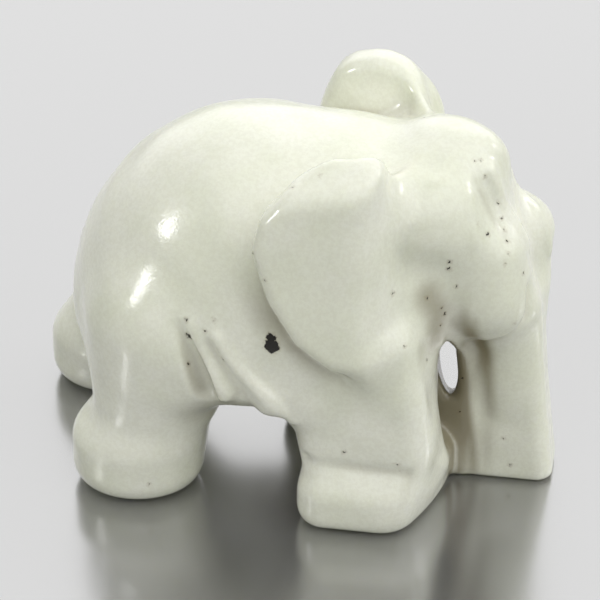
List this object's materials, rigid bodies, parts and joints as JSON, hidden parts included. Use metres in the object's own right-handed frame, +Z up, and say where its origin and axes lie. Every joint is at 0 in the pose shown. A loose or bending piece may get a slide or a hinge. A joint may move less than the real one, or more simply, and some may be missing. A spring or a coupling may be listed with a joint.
{
  "type": "elephant figurine",
  "caption": "Carved white jade elephant figurine in a walking pose, with thick slab ears and a straight trunk that rests on the ground.",
  "frame": {"origin": "middle of the base of the figure's box, on the ground under the belly", "axes": "+X is the way the elephant faces and its longest extent, +Y is its left side, +Z is up"},
  "size_m": [0.0494, 0.0312, 0.0347],
  "materials": {
    "white_jade": "polished, slightly translucent, white with a faint green cast"
  },
  "bodies": {
    "root": {"elephant": "white_jade"}
  },
  "joints": []
}
